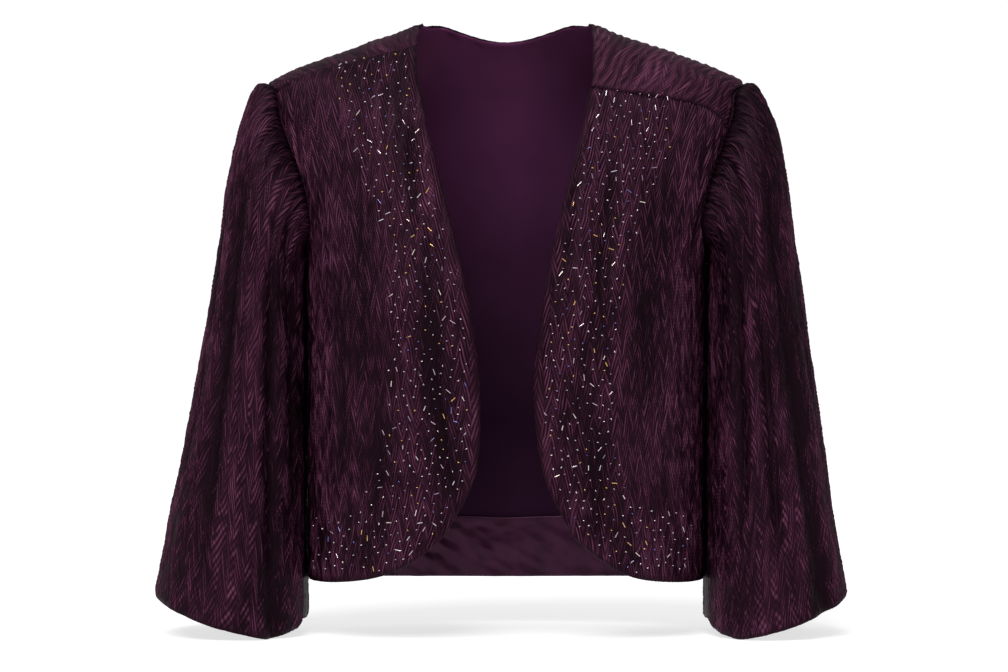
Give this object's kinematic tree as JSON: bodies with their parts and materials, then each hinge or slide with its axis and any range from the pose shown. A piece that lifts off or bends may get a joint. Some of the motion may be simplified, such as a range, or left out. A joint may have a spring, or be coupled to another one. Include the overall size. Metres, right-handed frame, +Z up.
{
  "type": "beaded open-front cropped jacket",
  "caption": "Cropped open-front evening jacket in pleated cloth with rounded fronts, wide three-quarter sleeves and beaded front edges, filled out as if worn.",
  "frame": {"origin": "midway between the two points where the shoulder line meets the neck, where the wearer's shoulders hold the jacket", "axes": "+Z up, -Y the way the open front faces, +X the wearer's left"},
  "size_m": [0.6005, 0.2261, 0.5324],
  "materials": {
    "pleated_cloth": "dark plum micro-pleated cloth in herringbone columns, dull silky sheen",
    "lining": "smooth matt plum lining",
    "satin": "plum satin with a soft shine",
    "beads": "silver, gold and iridescent glass seed and bugle beads"
  },
  "bodies": {
    "root": {"back": "pleated_cloth", "back_lining": "lining", "hem_facing": "satin", "front_right": "pleated_cloth", "sleeve_right": "pleated_cloth", "front_left": "pleated_cloth", "sleeve_left": "pleated_cloth"}
  },
  "joints": []
}
